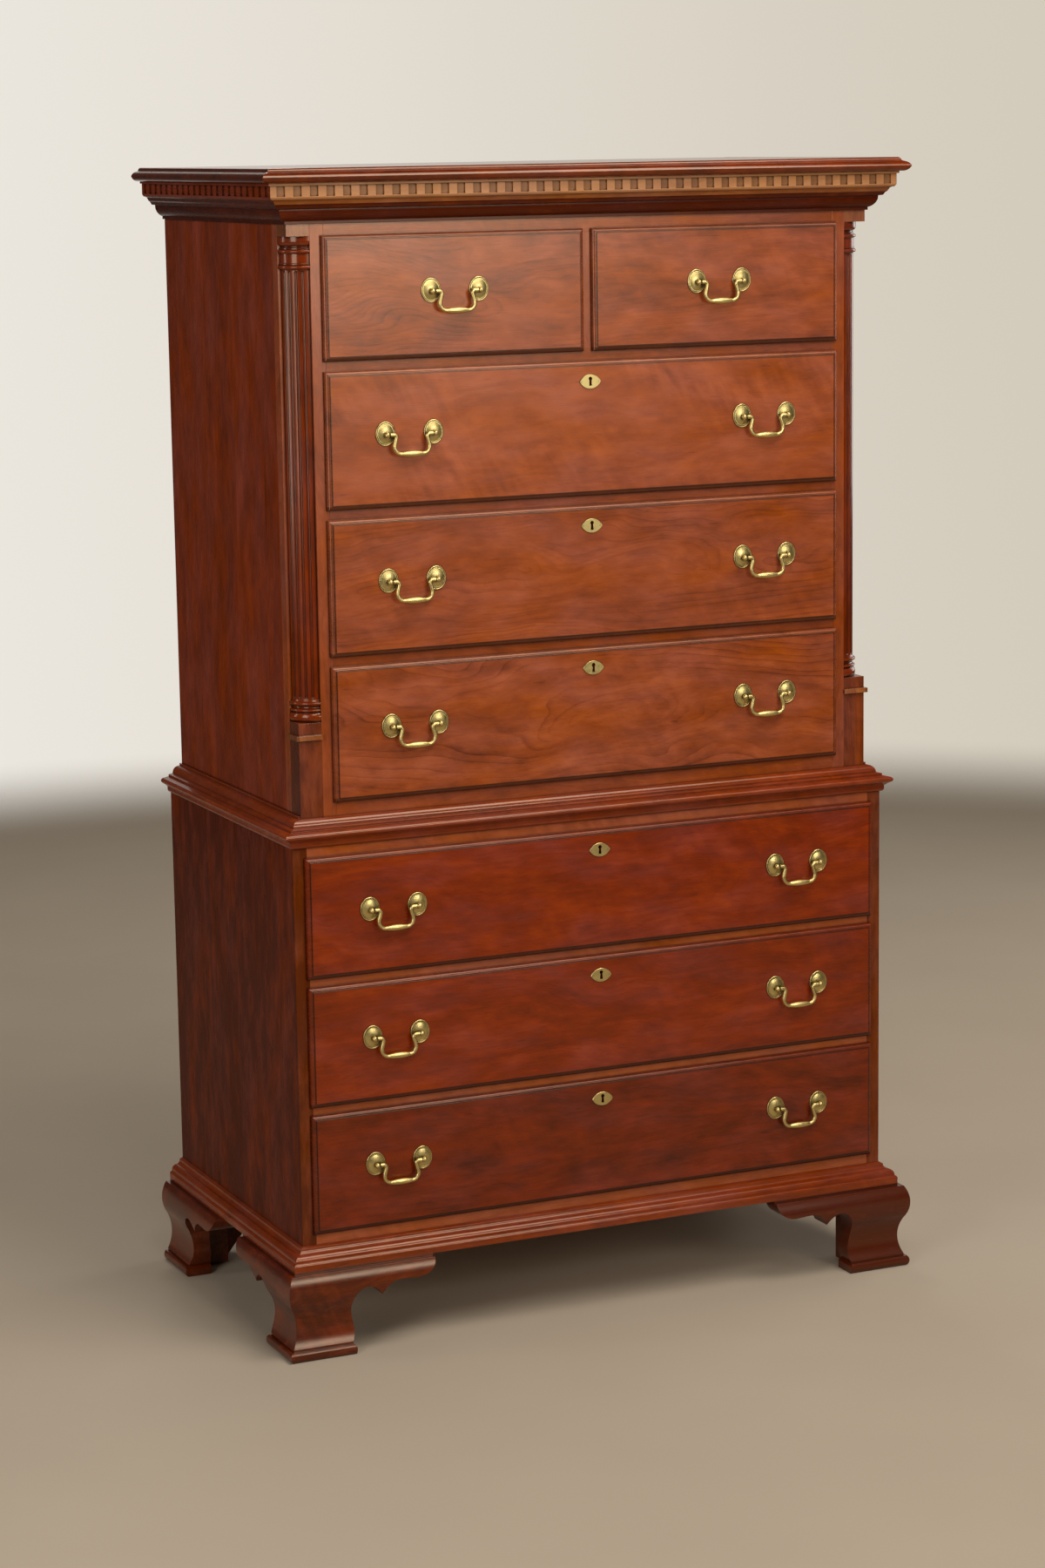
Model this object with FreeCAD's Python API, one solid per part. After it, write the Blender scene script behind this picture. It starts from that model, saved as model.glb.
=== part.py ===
import FreeCAD, Part
import math
import os

# Chest on chest: an upper case of four drawer rows stands on a lower case of three.
# Millimetres. X runs across the width, -Y is the front, +Z is up.
# The origin lies on the floor under the middle of the whole piece.

# ---- Cases -------------------------------------------------------------------------------------
lower_width = 988.0
lower_depth = 542.5
lower_side_thickness = 22.0
side_step = 20.0
front_step = 15.0
upper_width = lower_width - 2 * side_step
upper_depth = lower_depth - front_step
upper_side_thickness = 20.0
back_thickness = 12.0
back_rabbet = 10.0
back_board_gap = 0.4
back_board_chamfer = 1.5
lower_back_boards = 3
upper_back_boards = 4

# ---- Rails, posts and the frames behind them ---------------------------------------------------
foot_height = 135.0
lower_bottom_rail_height = 54.0
lower_rail_height = 22.0
lower_top_rail_height = 48.0
upper_bottom_rail_height = 38.5
upper_rail_height = 24.0
upper_top_rail_height = 80.0
wide_rail_thickness = 22.0
rail_depth = 70.0
rear_rail_depth = 45.0
tenon_length = 10.0
tenon_shoulder = 5.0
runner_bearing_width = 22.0
dust_panel_thickness = 8.0
dust_panel_groove = 8.0
lower_bottom_thickness = 18.0
lower_top_thickness = 22.0
upper_bottom_thickness = 18.0
board_housing = 8.0
guide_height = 20.0
kicker_height = 18.0
post_width = 57.0
centre_upright_width = 24.0

# ---- Drawers -----------------------------------------------------------------------------------
lower_opening_height = 173.0
upper_opening_height = 191.0
small_opening_height = 171.0
lip_overlap = 5.0
lip_proud = 9.5
lip_round = 5.5
lip_gap = 0.3
field_margin = 6.5
field_step = 1.3
front_body_thickness = 13.0
drawer_side_thickness = 12.0
drawer_back_thickness = 12.0
drawer_back_drop = 6.0
drawer_bottom_thickness = 8.0
drawer_bottom_rise = 10.0
drawer_bottom_groove = 5.0
drawer_side_gap = 1.0
drawer_top_gap = 2.0
drawer_run_gap = 0.3
drawer_rear_gap = 14.0
tail_depth = 10.0
tail_pitch = 36.0
tail_width = 24.0
tail_flare = 2.0

# ---- Brasses -----------------------------------------------------------------------------------
pull_rise = 7.9
post_spacing = 76.2
upper_pull_inset = 124.0
lower_pull_inset = 132.0
small_pull_outset = 2.5
plate_height = 36.0
plate_width = 30.8
plate_thickness = 3.7
pull_standoff = 8.6
post_drop = 1.6
post_ball_radius = 4.2
post_neck_radius = 3.1
shank_radius = 2.4
shank_clearance = 0.2
nut_radius = 6.0
nut_thickness = 3.5
pin_radius = 1.9
pin_clearance = 0.05
pin_end_gap = 0.5
pin_reach = 1.5
bail_shoulder_gap = 0.3
bail_radius = 3.0
bail_neck = 23.1
bail_heel = 31.0
bail_drop = 28.5
bail_neck_bend = 4.0
bail_heel_bend = 11.0
bail_tilt = 3.5
grip_radius = 4.7
escutcheon_length = 35.0
escutcheon_height = 21.5
escutcheon_thickness = 1.4
escutcheon_drop = 30.5
escutcheon_pin_inset = 3.6
escutcheon_pin_radius = 1.1
escutcheon_pin_head = 0.6
keyhole_rise = 4.3
keyhole_radius = 2.9
keyhole_slot_length = 10.5
keyhole_slot_top = 1.4
keyhole_slot_foot = 2.4
keyhole_depth = 11.0

# ---- Columns -----------------------------------------------------------------------------------
column_notch = 36.0
plinth_height = 154.0
corner_block_height = 76.0
plinth_band_rise = 129.0
plinth_band_height = 7.0
plinth_band_proud = 4.5
shaft_radius = 31.5
ring_radius = 35.8
flute_count = 4
flute_radius = 2.6
flute_depth = 1.9
flute_margin = 0.5
column_base_height = 33.5
column_neck_height = 48.2

# ---- Mouldings and feet ------------------------------------------------------------------------
cornice_thickness = 20.5
cornice_overhang = 52.5
dentil_strip_height = 23.5
dentil_overhang = 35.5
dentil_pitch = 25.3
dentil_gap = 12.7
dentil_gap_depth = 3.0
dentil_gap_height = 14.5
dentil_rim = 4.5
dentil_corner = 9.75
bed_height = 35.0
bed_overhang = 31.0
waist_rise = 17.0
waist_drop = 28.0
waist_overhang = 16.0
base_moulding_height = 33.0
base_overhang = 22.5
foot_bulge = 37.5
foot_waist = 22.5
foot_back_face = -6.0
foot_wing = 201.0
foot_leg = 66.0
foot_cusp = 113.0
foot_cusp_height = 87.0
foot_arch_height = 103.0
foot_pad_height = 15.5
foot_pad_overhang = 37.0
foot_pad_round = 3.5
foot_block_gap = 2.5
glue_block = 44.0
glue_strip = 20.0
rear_bracket_thickness = 20.0
rear_bracket_inset = 2.0
rear_bracket_foot = 65.0
rear_bracket_top = 175.0

# ---- Planes that follow from the sizes above ---------------------------------------------------
lower_half = lower_width / 2
upper_half = upper_width / 2
front_reach = max(
    lower_depth + foot_bulge,
    upper_depth + cornice_overhang,
    lower_depth + lip_proud + pull_standoff + bail_drop * math.sin(math.radians(bail_tilt)) + grip_radius,
)
back_y = front_reach / 2
lower_front = back_y - lower_depth
upper_front = back_y - upper_depth
back_face = back_y - back_thickness
lower_inner = lower_half - lower_side_thickness
upper_inner = upper_half - upper_side_thickness
upper_opening = upper_half - post_width

lower_opening_floors = []
level = foot_height + lower_bottom_rail_height
for row in range(3):
    lower_opening_floors.append(level)
    level += lower_opening_height + lower_rail_height
lower_case_top = level - lower_rail_height + lower_top_rail_height

upper_opening_floors = []
level = lower_case_top + upper_bottom_rail_height
for row in range(3):
    upper_opening_floors.append(level)
    level += upper_opening_height + upper_rail_height
small_opening_floor = level
upper_case_top = small_opening_floor + small_opening_height + upper_top_rail_height


# ---- Shared shapes -----------------------------------------------------------------------------
def vec(x, y, z):
    return FreeCAD.Vector(x, y, z)


def box(x0, x1, y0, y1, z0, z1):
    return Part.makeBox(x1 - x0, y1 - y0, z1 - z0, vec(x0, y0, z0))


def moved(shape, x, y, z):
    copy = shape.copy()
    copy.translate(vec(x, y, z))
    return copy


def turned(shape, degrees):
    copy = shape.copy()
    copy.rotate(vec(0, 0, 0), vec(0, 0, 1), degrees)
    return copy


def mirrored_in_x(shape):
    return shape.mirror(vec(0, 0, 0), vec(1, 0, 0))


def both_sides(shape):
    return [mirrored_in_x(shape), shape]


def outline(start, *moves):
    """Closed face in the plane X = 0, from (outward, up) points, outward being -Y.

    A move of one point is a line, of two points an arc through the first to the second,
    and of more points a smooth curve through them all."""
    edges = []
    here = start
    for move in moves + ((start,),):
        points = [vec(0, -out, up) for out, up in (here,) + move]
        if len(points) == 2:
            edges.append(Part.LineSegment(*points).toShape())
        elif len(points) == 3:
            edges.append(Part.Arc(*points).toShape())
        else:
            curve = Part.BSplineCurve()
            curve.interpolate(points)
            edges.append(curve.toShape())
        here = move[-1]
    return Part.Face(Part.Wire(edges))


def shares(width, low, height, *moves):
    """Moves for an outline, given in shares of a moulding's width and height."""
    return [tuple((out * width, low + up * height) for out, up in move) for move in moves]


def prism(corners, z0, z1):
    """Upright prism on a plan polygon."""
    points = [vec(x, y, z0) for x, y in corners]
    return Part.Face(Part.makePolygon(points + points[:1])).extrude(vec(0, 0, z1 - z0))


def mitre_halves(half_width, front, size, z0, z1):
    """The two sides of the 45 degree mitre plane at the right front corner: front half, side half."""
    left_back = (half_width - size, front + size)
    right_front = (half_width + size, front - size)
    front_half = prism([left_back, right_front, (half_width - size, front - size)], z0, z1)
    side_half = prism([left_back, right_front, (half_width + size, front + size)], z0, z1)
    return front_half, side_half


def mitred_runs(section, half_width, front):
    """Front, left and right lengths of a moulding, mitred in front and square at the back."""
    bounds = section.BoundBox
    reach = max(abs(bounds.YMin), abs(bounds.YMax))
    front_half, side_half = mitre_halves(half_width, front, 2 * reach, bounds.ZMin - 1, bounds.ZMax + 1)
    length = 2 * (half_width + reach)
    front_run = moved(section, -half_width - reach, front, 0).extrude(vec(length, 0, 0))
    front_run = front_run.cut(side_half).cut(mirrored_in_x(side_half))
    side_run = moved(turned(section, 90), half_width, front - reach, 0)
    side_run = side_run.extrude(vec(0, back_y - front + reach, 0)).cut(front_half)
    return [front_run] + both_sides(side_run)


def without(shape, *others):
    """The shape with its neighbours' room cut out of it, so that they meet face to face."""
    tools = [other for other in others if shape.BoundBox.intersect(other.BoundBox)]
    return shape.cut(tools) if tools else shape


def save(node, solids):
    Part.makeCompound(solids).exportStep("parts/" + node + ".step")


# ---- Rails and web frames ----------------------------------------------------------------------
def tenoned_rail(half_length, front, depth, z0, z1):
    """A rail between two uprights, with a stub tenon at each end that stays hidden from the front."""
    rail = box(-half_length, half_length, front, front + depth, z0, z1)
    tenon = box(-half_length - tenon_length, half_length + tenon_length,
                front + tenon_shoulder, front + depth - tenon_shoulder,
                z0 + tenon_shoulder, z1 - tenon_shoulder)
    return rail.fuse(tenon).removeSplitter()


def web_frame(opening_half, side_face, front, z0, z1, centre_half=0.0):
    """A drawer rail with the runners, rear rail and dust panels behind it.

    Returns the front rail and the list of the pieces behind it."""
    rail = tenoned_rail(opening_half, front, rail_depth, z0, z1)
    rail_back = front + rail_depth
    rear_front = back_face - rear_rail_depth
    runner_inner = opening_half - drawer_side_gap - drawer_side_thickness - runner_bearing_width
    runner = box(runner_inner, side_face + board_housing, rail_back, rear_front, z0, z1)
    rear = box(-side_face - board_housing, side_face + board_housing, rear_front, back_face, z0, z1)
    members = both_sides(runner) + [rear]
    panel_spans = [(-runner_inner, runner_inner)]
    if centre_half:
        members.append(box(-centre_half, centre_half, rail_back, rear_front, z0, z1))
        panel_spans = [(-runner_inner, -centre_half), (centre_half, runner_inner)]
    panel_low = (z0 + z1 - dust_panel_thickness) / 2
    panels = [
        box(x0 - dust_panel_groove, x1 + dust_panel_groove, rail_back - dust_panel_groove,
            rear_front + dust_panel_groove, panel_low, panel_low + dust_panel_thickness)
        for x0, x1 in panel_spans
    ]
    return without(rail, *panels), [without(member, *panels) for member in members] + panels


def back_boards(half_width, z0, z1, count):
    """Horizontal boards in the rabbets of the sides, with a small chamfer along each joint outside."""
    boards = []
    pitch = (z1 - z0) / count
    for index in range(count):
        low = z0 + index * pitch + back_board_gap / 2
        high = z0 + (index + 1) * pitch - back_board_gap / 2
        board = box(-half_width, half_width, back_face, back_y, low, high)
        joints = [edge for edge in board.Edges
                  if edge.BoundBox.XLength > half_width and edge.BoundBox.YMin > back_y - 0.01]
        boards.append(board.makeChamfer(back_board_chamfer, joints))
    return boards


def rabbet_room(half_width, z0, z1):
    return box(-half_width, half_width, back_face, back_y, z0, z1)


# ---- Lower case --------------------------------------------------------------------------------
def lower_case():
    case_floor = foot_height
    bottom_rail = tenoned_rail(lower_inner, lower_front, wide_rail_thickness,
                               case_floor, lower_opening_floors[0])
    top_opening_roof = lower_opening_floors[-1] + lower_opening_height
    top_rail = tenoned_rail(lower_inner, lower_front, wide_rail_thickness, top_opening_roof,
                            lower_case_top)
    rails = [bottom_rail, top_rail]
    frame_pieces = []
    for floor in lower_opening_floors[1:]:
        rail, behind = web_frame(lower_inner, lower_inner, lower_front, floor - lower_rail_height, floor)
        rails.append(rail)
        frame_pieces += behind
    board_front = lower_front + wide_rail_thickness
    bottom_board = box(-lower_inner - board_housing, lower_inner + board_housing, board_front, back_face,
                       lower_opening_floors[0] - lower_bottom_thickness, lower_opening_floors[0])
    top_board = box(-lower_inner - board_housing, lower_inner + board_housing, board_front, back_face,
                    lower_case_top - lower_top_thickness, lower_case_top)
    kicker_inner = lower_inner - drawer_side_gap - drawer_side_thickness - runner_bearing_width
    kicker = box(kicker_inner, lower_inner, board_front, back_face, top_opening_roof,
                 lower_case_top - lower_top_thickness)
    frame_pieces += both_sides(kicker)
    back_half = lower_inner + back_rabbet
    side = box(lower_inner, lower_half, lower_front, back_y, case_floor, lower_case_top)
    side = without(side, rabbet_room(back_half, case_floor, lower_case_top), bottom_board, top_board,
                   *rails, *frame_pieces)
    save("lower_side_right", [side])
    save("lower_side_left", [mirrored_in_x(side)])
    save("lower_back", back_boards(back_half, case_floor, lower_case_top, lower_back_boards))
    save("lower_boards", [bottom_board, top_board])
    save("lower_rails", rails)
    save("lower_runners", frame_pieces)


# ---- Feet --------------------------------------------------------------------------------------
def ogee_section():
    """Section of an ogee bracket: overhang from the case face against height."""
    pad_face = foot_pad_overhang - foot_pad_round
    leg_face = foot_pad_overhang - 2 * foot_pad_round
    leg_floor = foot_pad_height + foot_pad_round
    leg_top = foot_height - foot_pad_round
    turn = (leg_top + foot_pad_height) / 2
    turn_overhang = (foot_bulge + foot_waist) / 2
    return outline(
        (foot_back_face, 0), ((pad_face, 0),),
        ((foot_pad_overhang, 0.55 * foot_pad_height), (pad_face + 1, foot_pad_height)),
        ((leg_face, foot_pad_height),), ((leg_face, leg_floor),),
        ((foot_waist, (turn + leg_floor) / 2), (turn_overhang, 0.9 * turn + 0.1 * leg_top)),
        ((foot_bulge, 0.4 * turn + 0.6 * leg_top), (turn_overhang, leg_top)),
        ((base_overhang, leg_top),), ((base_overhang, foot_height),), ((foot_back_face, foot_height),),
    )


def bracket_elevation():
    """The sawn outline of a bracket: distance from the case corner against height."""
    arch = foot_cusp - foot_leg
    wing = foot_wing - foot_cusp
    rise = foot_height - foot_cusp_height
    pad = foot_leg + foot_pad_round
    return outline(
        (-foot_bulge, 0), ((pad, 0),), ((pad, foot_pad_height - foot_pad_round),),
        ((foot_leg - 1, foot_pad_height + 1),),
        *shares(1, 0, foot_arch_height, ((foot_leg + 0.08 * arch, 0.35), (foot_leg, 0.58),
                (foot_leg - 0.02 * arch, 0.74), (foot_leg + 0.08 * arch, 0.89),
                (foot_leg + 0.3 * arch, 0.98), (foot_leg + 0.52 * arch, 1.0), (foot_leg + 0.8 * arch, 0.95),
                (foot_cusp, foot_cusp_height / foot_arch_height))),
        ((foot_cusp + 0.1 * wing, foot_cusp_height + 0.26 * rise),
         (foot_cusp + 0.28 * wing, foot_cusp_height + 0.42 * rise)),
        ((foot_cusp + 0.46 * wing, foot_cusp_height + 0.42 * rise),
         (foot_cusp + 0.63 * wing, foot_cusp_height + 0.4 * rise),
         (foot_cusp + 0.82 * wing, foot_cusp_height + 0.46 * rise),
         (foot_cusp + 0.95 * wing, foot_cusp_height + 0.64 * rise), (foot_wing, foot_height)),
        ((-foot_bulge, foot_height),),
    )


def side_bracket_blank():
    """Ogee bracket along the right side, square-ended, its leg at the front corner."""
    section = moved(turned(ogee_section(), 90), lower_half, lower_front - foot_bulge, 0)
    bar = section.extrude(vec(0, foot_wing + foot_bulge, 0))
    elevation = moved(turned(bracket_elevation(), 180), lower_half + foot_back_face - 1, lower_front, 0)
    return bar.common(elevation.extrude(vec(foot_bulge - foot_back_face + 2, 0, 0)))


def glue_blocks(corner_x, corner_y, wing_end):
    """A corner block and a strip behind each wing, inside the brackets of the right front foot."""
    inner_x = corner_x + foot_back_face
    inner_y = corner_y - foot_back_face
    strip_floor = foot_height - glue_strip
    corner = box(inner_x - glue_block, inner_x, inner_y, inner_y + glue_block, foot_block_gap, foot_height)
    side_strip = box(inner_x - glue_strip, inner_x, inner_y + glue_block, wing_end, strip_floor, foot_height)
    return corner, side_strip


def feet():
    blank = side_bracket_blank()
    front_half, side_half = mitre_halves(lower_half, lower_front, 4 * foot_bulge, -1, foot_height + 1)
    corner_point = vec(lower_half, lower_front, 0)
    across_mitre = vec(1, 1, 0)
    side_bracket = blank.cut(front_half)
    front_bracket = side_bracket.mirror(corner_point, across_mitre)
    strip_end = lower_front + foot_wing - glue_strip
    corner_block, side_strip = glue_blocks(lower_half, lower_front, strip_end)
    front_strip = side_strip.mirror(corner_point, across_mitre)
    front_foot = [front_bracket, side_bracket, corner_block, side_strip, front_strip]

    middle_y = (lower_front - foot_bulge + back_y) / 2
    rear_side = blank.mirror(vec(0, middle_y, 0), vec(0, 1, 0))
    rear_back = back_y - rear_bracket_inset
    rear_front = rear_back - rear_bracket_thickness
    inner_x = lower_half + foot_back_face
    plain = Part.Face(Part.makePolygon([
        vec(inner_x, rear_front, 0), vec(lower_half - rear_bracket_foot, rear_front, 0),
        vec(lower_half - rear_bracket_top, rear_front, foot_height), vec(inner_x, rear_front, foot_height),
        vec(inner_x, rear_front, 0),
    ])).extrude(vec(0, rear_bracket_thickness, 0))
    rear_block = box(inner_x - glue_block, inner_x, rear_front - glue_block, rear_front, foot_block_gap,
                     foot_height)
    rear_strip = box(inner_x - glue_strip, inner_x, back_y - foot_wing - foot_bulge + glue_strip,
                     rear_front - glue_block, foot_height - glue_strip, foot_height)
    rear_foot = [rear_side, plain, rear_block, rear_strip]
    for place, foot in (("front", front_foot), ("rear", rear_foot)):
        save("foot_" + place + "_right", foot)
        save("foot_" + place + "_left", [mirrored_in_x(piece) for piece in foot])


# ---- Mouldings ---------------------------------------------------------------------------------
def base_moulding():
    section = outline((0, foot_height), *shares(
        base_overhang, foot_height, base_moulding_height,
        ((1, 0),), ((1, 0.19),), ((0.975, 0.32), (0.91, 0.365)), ((0.855, 0.38),), ((0.835, 0.47),),
        ((0.735, 0.61), (0.53, 0.685)), ((0.36, 0.72), (0.25, 0.83)), ((0.24, 0.92),), ((0, 1),),
    ))
    save("base_moulding", mitred_runs(section, lower_half, lower_front))


def waist_moulding():
    """Fixed round the lower case's top edge, it rises round the foot of the upper case."""
    seat = lower_case_top
    inset = max(side_step, front_step)
    top = seat + waist_rise
    foot = seat - waist_drop
    section = outline((0, foot), *shares(
        waist_overhang, foot, top - foot,
        ((0.24, 0.027), (0.34, 0.12)), ((0.34, 0.21),), ((0.53, 0.27), (0.84, 0.345)),
        ((1, 0.433), (0.81, 0.52)), ((0.19, 0.565),), ((0.19, 0.635),), ((-0.25, 0.665),),
        ((-0.43, 0.84), (-0.81, 0.91)), ((-1, 0.925),), ((-1, 1),),
    ), ((-inset, top),), ((-inset, seat),), ((0, seat),))
    standing_room = box(-upper_half, upper_half, upper_front, back_y, seat, top + 1)
    runs = mitred_runs(section, lower_half, lower_front)
    save("waist_moulding", [without(run, standing_room) for run in runs])


def dentil_moulding():
    top = upper_case_top
    low = top - dentil_strip_height
    section = outline((0, low), *shares(
        dentil_overhang, low, dentil_strip_height,
        ((0.93, 0),), ((1, 0.15),), ((1, 0.85),), ((1.085, 0.85),), ((1.085, 1),), ((0, 1),),
    ))
    gap_floor = low + dentil_rim
    gap_roof = gap_floor + dentil_gap_height
    gap_half = dentil_gap / 2
    face_front = upper_front - dentil_overhang
    face_side = upper_half + dentil_overhang
    first = dentil_corner + gap_half
    front_count = int((2 * face_side - 2 * first) / dentil_pitch) + 1
    side_room = back_y - face_front - first - gap_half - dentil_rim
    side_count = int(side_room / dentil_pitch) + 1
    front_gaps = []
    for index in range(front_count):
        x = (index - (front_count - 1) / 2) * dentil_pitch
        front_gaps.append(box(x - gap_half, x + gap_half, face_front - 1, face_front + dentil_gap_depth,
                              gap_floor, gap_roof))
    side_gaps = []
    for index in range(side_count):
        y = face_front + first + index * dentil_pitch
        side_gaps.append(box(face_side - dentil_gap_depth, face_side + 1, y - gap_half, y + gap_half,
                             gap_floor, gap_roof))
    front, left, right = mitred_runs(section, upper_half, upper_front)
    right = right.cut(side_gaps)
    save("dentil_moulding", [front.cut(front_gaps), mirrored_in_x(right), right])


def bed_moulding():
    top = upper_case_top - dentil_strip_height
    low = top - bed_height
    section = outline((0, low), *shares(
        bed_overhang, low, bed_height,
        ((0.11, 0),), ((0.11, 0.13),), ((0.145, 0.13),), ((0.37, 0.285), (0.485, 0.615)), ((0.66, 0.64),),
        ((0.74, 0.76),), ((0.82, 0.815),), ((0.905, 0.955),), ((1, 1),), ((0, 1),),
    ))
    save("bed_moulding", mitred_runs(section, upper_half, upper_front))


def cornice_top():
    """One wide board on the upper case, with a moulded edge in front and at both ends."""
    low = upper_case_top
    top = low + cornice_thickness
    section = outline((0, low), *shares(
        cornice_overhang, low, cornice_thickness,
        ((0.83, 0),), ((0.93, 0.12), (1, 0.4)), ((0.95, 0.58), (0.86, 0.71)), ((0.8, 0.76),),
        ((0.78, 0.8),), ((0.75, 0.95), (0.65, 1)), ((0, 1),),
    ))
    runs = mitred_runs(section, upper_half, upper_front)
    board = box(-upper_half, upper_half, upper_front, back_y, low, top)
    save("cornice_top", [board.multiFuse(runs).removeSplitter()])


# ---- Upper case --------------------------------------------------------------------------------
def upper_case():
    case_floor = lower_case_top
    bottom_rail = tenoned_rail(upper_opening, upper_front, wide_rail_thickness,
                               case_floor, upper_opening_floors[0])
    small_roof = small_opening_floor + small_opening_height
    top_rail = tenoned_rail(upper_opening, upper_front, wide_rail_thickness, small_roof, upper_case_top)
    rails = [bottom_rail, top_rail]
    runners = []
    guide_front = upper_front + post_width
    centre_half = centre_upright_width / 2
    centre_bearing = centre_half + drawer_side_gap + drawer_side_thickness + runner_bearing_width
    for floor in upper_opening_floors[1:] + [small_opening_floor]:
        centre = centre_bearing if floor == small_opening_floor else 0.0
        rail, behind = web_frame(upper_opening, upper_inner, upper_front, floor - upper_rail_height, floor,
                                 centre)
        rails.append(rail)
        runners += behind
    for floor in upper_opening_floors + [small_opening_floor]:
        guide = box(upper_opening, upper_inner, guide_front, back_face, floor, floor + guide_height)
        runners += both_sides(guide)
    upright = box(-centre_half, centre_half, upper_front, upper_front + rail_depth, small_opening_floor,
                  small_roof)
    runners.append(box(-centre_half, centre_half, upper_front + rail_depth, back_face,
                       small_opening_floor, small_opening_floor + guide_height))

    board_front = upper_front + wide_rail_thickness
    board_top = case_floor + upper_bottom_thickness
    bottom_front = box(-upper_opening, upper_opening, board_front, guide_front, case_floor, board_top)
    bottom_rear = box(-upper_inner - board_housing, upper_inner + board_housing, guide_front, back_face,
                      case_floor, board_top)
    bottom_board = bottom_front.fuse(bottom_rear).removeSplitter()
    bearer_inner = upper_opening - drawer_side_gap - drawer_side_thickness - runner_bearing_width
    bearer = box(bearer_inner, upper_inner, guide_front, back_face, board_top, upper_opening_floors[0])
    kicker = box(bearer_inner, upper_inner, guide_front, back_face, small_roof, small_roof + kicker_height)
    runners += both_sides(bearer) + both_sides(kicker)
    runners.append(box(-centre_bearing, centre_bearing, board_front, back_face, small_roof,
                       small_roof + kicker_height))
    upright = without(upright, runners[-1])

    post = box(upper_opening, upper_half, upper_front, guide_front, case_floor, upper_case_top)
    notch_x = upper_half - column_notch
    notch_y = upper_front + column_notch
    post = post.cut(box(notch_x, upper_half, upper_front, notch_y, case_floor, upper_case_top))
    post = without(post, *rails)
    back_half = upper_inner + back_rabbet
    side = box(upper_inner, upper_half, guide_front, back_y, case_floor, upper_case_top)
    side = without(side, rabbet_room(back_half, case_floor, upper_case_top), bottom_board, *runners)
    save("upper_side_right", [side])
    save("upper_side_left", [mirrored_in_x(side)])
    save("upper_back", back_boards(back_half, case_floor, upper_case_top, upper_back_boards))
    save("upper_frame", both_sides(post) + rails + [upright])
    save("upper_bottom_and_runners", [bottom_board] + runners)


# ---- Quarter columns ---------------------------------------------------------------------------
def quarter_column():
    """Turned and fluted quarter column for the right corner, standing on the notch's inner edge."""
    foot = lower_case_top + plinth_height
    head = upper_case_top - corner_block_height
    shaft_foot = foot + column_base_height
    shaft_head = head - column_neck_height
    bead = 0.935 * ring_radius
    step = 1.02 * shaft_radius
    neck = 1.04 * shaft_radius
    cove = 0.97 * shaft_radius
    base_moves = shares(
        1, foot, column_base_height,
        ((bead, 0),), ((ring_radius, 0.205), (bead, 0.41)), ((step, 0.43),), ((bead, 0.463),),
        ((0.98 * ring_radius, 0.52), (bead, 0.58)), ((step, 0.59),), ((cove, 0.67), (step, 0.745)),
        ((bead, 0.75),), ((ring_radius, 0.822), (bead, 0.895)), ((neck, 0.905),), ((shaft_radius, 1),),
    )
    neck_moves = shares(
        1, shaft_head, column_neck_height,
        ((shaft_radius, 0),), ((step, 0.03),), ((bead, 0.035),), ((ring_radius, 0.092), (bead, 0.149)),
        ((step, 0.152),), ((bead, 0.16),), ((bead, 0.195),), ((neck, 0.208),), ((neck, 0.488),),
        ((bead, 0.504),), ((ring_radius, 0.555), (bead, 0.606)), ((step, 0.615),), ((step, 0.655),),
        ((cove, 0.695), (step, 0.735)), ((bead, 0.74),), ((0.98 * ring_radius, 0.79), (ring_radius, 0.89)),
        ((ring_radius, 1),), ((0, 1),),
    )
    section = outline((0, foot), *base_moves, *neck_moves)
    column = section.revolve(vec(0, 0, 0), vec(0, 0, 1), 90)
    flute_low = shaft_foot + flute_margin + flute_radius
    flute_high = shaft_head - flute_margin - flute_radius
    flute_centre = shaft_radius - flute_depth + flute_radius
    flutes = []
    for index in range(flute_count):
        angle = math.radians((index + 1) * 90.0 / (flute_count + 1))
        x = flute_centre * math.sin(angle)
        y = -flute_centre * math.cos(angle)
        groove = Part.makeCylinder(flute_radius, flute_high - flute_low, vec(x, y, flute_low))
        flutes.append(groove.multiFuse([Part.makeSphere(flute_radius, vec(x, y, end))
                                        for end in (flute_low, flute_high)]))
    return moved(column.cut(flutes), upper_half - column_notch, upper_front + column_notch, 0)


def quarter_columns():
    inner_x = upper_half - column_notch
    inner_y = upper_front + column_notch
    plinth_top = lower_case_top + plinth_height
    band_low = lower_case_top + plinth_band_rise
    plinth = box(inner_x, upper_half, upper_front, inner_y, lower_case_top, plinth_top)
    band = box(inner_x, upper_half + plinth_band_proud, upper_front - plinth_band_proud, inner_y,
               band_low, band_low + plinth_band_height)
    corner_block = box(inner_x, upper_half, upper_front, inner_y, upper_case_top - corner_block_height,
                       upper_case_top)
    column = quarter_column()
    save("quarter_columns", both_sides(column))
    save("column_blocks", both_sides(plinth.fuse(band).removeSplitter()) + both_sides(corner_block))


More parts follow.
